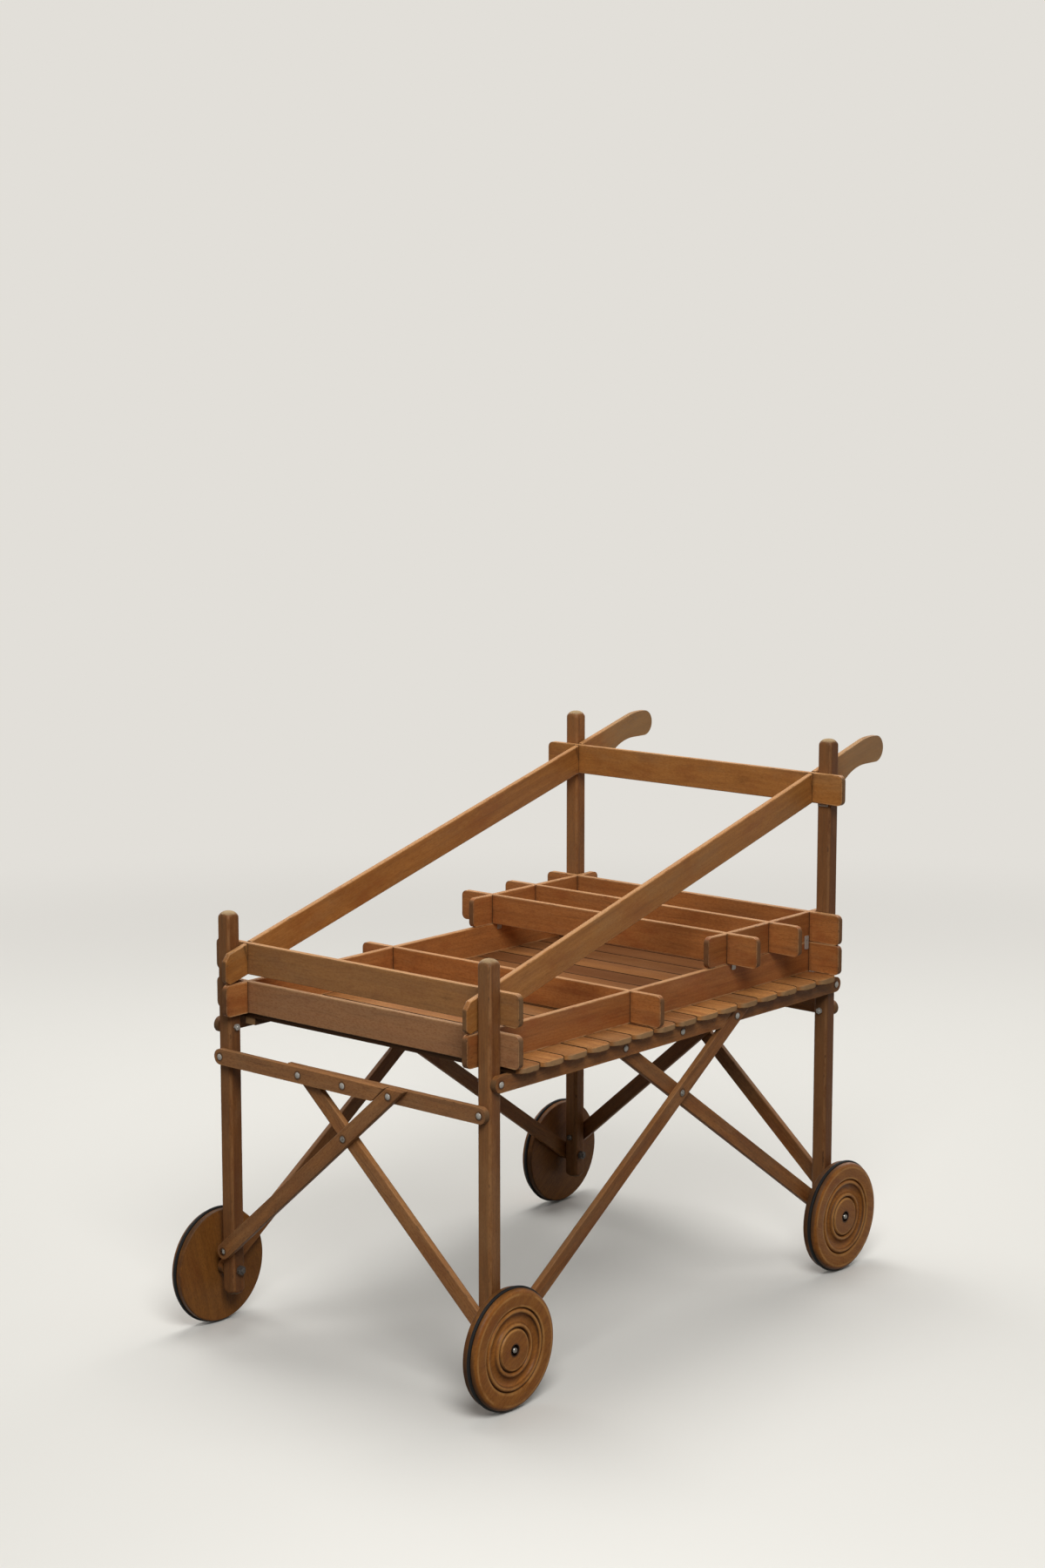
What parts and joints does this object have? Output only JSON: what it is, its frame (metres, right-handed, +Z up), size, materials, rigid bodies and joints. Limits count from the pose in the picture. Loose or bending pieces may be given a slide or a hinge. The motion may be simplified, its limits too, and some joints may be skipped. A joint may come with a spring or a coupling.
{
  "type": "wooden folding wagon",
  "caption": "Wooden folding hand wagon with disc wheels, crossed side braces, a slatted floor, a boarded tray with a rack, and a sloping push handle frame.",
  "frame": {"origin": "on the ground, under the middle of the whole wagon's length and width", "axes": "+X along the wagon towards the handles, +Y across it, +Z up"},
  "size_m": [1.0884, 0.6158, 0.863],
  "materials": {
    "frame_wood": "oiled, worn",
    "board_wood": "oiled, worn",
    "handle_wood": "oiled, hand polished",
    "floor_wood": "bare, worn",
    "wheel_wood": "turned, oiled",
    "rubber": "matt",
    "steel": "dull"
  },
  "bodies": {
    "frame": {"axle_front_left": "steel", "axle_front_right": "steel", "axle_rear_left": "steel", "axle_rear_right": "steel", "bar_front_left": "frame_wood", "bar_front_right": "frame_wood", "bar_left_front": "frame_wood", "bar_left_rear": "frame_wood", "bar_rear_left": "frame_wood", "bar_rear_right": "frame_wood", "bar_right_front": "frame_wood", "bar_right_rear": "frame_wood", "bolts_front": "steel", "bolts_left": "steel", "bolts_rear": "steel", "bolts_right": "steel", "brace_front_left": "frame_wood", "brace_front_right": "frame_wood", "brace_left_front": "frame_wood", "brace_left_rear": "frame_wood", "brace_rear_left": "frame_wood", "brace_rear_right": "frame_wood", "brace_right_front": "frame_wood", "brace_right_rear": "frame_wood", "handle_rests": "steel", "pivots_front": "steel", "pivots_left": "steel", "pivots_rear": "steel", "pivots_right": "steel", "post_front_left": "frame_wood", "post_front_right": "frame_wood", "post_rear_left": "frame_wood", "post_rear_right": "frame_wood"},
    "wheel_front_left_body": {"ring_front_left": "rubber", "wheel_front_left": "wheel_wood"},
    "wheel_front_right_body": {"ring_front_right": "rubber", "wheel_front_right": "wheel_wood"},
    "wheel_rear_left_body": {"ring_rear_left": "rubber", "wheel_rear_left": "wheel_wood"},
    "wheel_rear_right_body": {"ring_rear_right": "rubber", "wheel_rear_right": "wheel_wood"},
    "floor": {"floor_battens": "floor_wood", "floor_slats": "floor_wood"},
    "tray": {"tray_front": "board_wood", "tray_rear": "board_wood", "tray_side_left": "board_wood", "tray_side_right": "board_wood"},
    "divider": {"tray_divider": "board_wood"},
    "rack": {"rack_front": "board_wood", "rack_middle": "board_wood", "rack_plates": "steel", "rack_rear": "board_wood", "rack_side_left": "board_wood", "rack_side_right": "board_wood"},
    "handle_frame": {"handle_cross_front": "handle_wood", "handle_cross_rear": "handle_wood", "handle_rail_left": "handle_wood", "handle_rail_right": "handle_wood"}
  },
  "joints": [
    {"name": "wheel_front_left_turn", "type": "hinge", "parent": "frame", "child": "wheel_front_left_body", "pos_m": [-0.45425, -0.2951, 0.09], "axis": [0, 1, 0], "continuous": true},
    {"name": "wheel_front_right_turn", "type": "hinge", "parent": "frame", "child": "wheel_front_right_body", "pos_m": [-0.45425, 0.2951, 0.09], "axis": [0, 1, 0], "continuous": true},
    {"name": "wheel_rear_left_turn", "type": "hinge", "parent": "frame", "child": "wheel_rear_left_body", "pos_m": [0.36575, -0.2951, 0.09], "axis": [0, 1, 0], "continuous": true},
    {"name": "wheel_rear_right_turn", "type": "hinge", "parent": "frame", "child": "wheel_rear_right_body", "pos_m": [0.36575, 0.2951, 0.09], "axis": [0, 1, 0], "continuous": true},
    {"name": "floor_lift", "type": "slide", "parent": "frame", "child": "floor", "axis": [0, 0, 1], "range_m": [0, 0.42]},
    {"name": "tray_lift", "type": "slide", "parent": "floor", "child": "tray", "axis": [0, 0, 1], "range_m": [0, 0.42]},
    {"name": "divider_lift", "type": "slide", "parent": "tray", "child": "divider", "axis": [0, 0, 1], "range_m": [0, 0.07]},
    {"name": "rack_lift", "type": "slide", "parent": "tray", "child": "rack", "axis": [0, 0, 1], "range_m": [0, 0.08]},
    {"name": "handle_frame_lift", "type": "slide", "parent": "tray", "child": "handle_frame", "axis": [0, 0, 1], "range_m": [0, 0.32]}
  ]
}
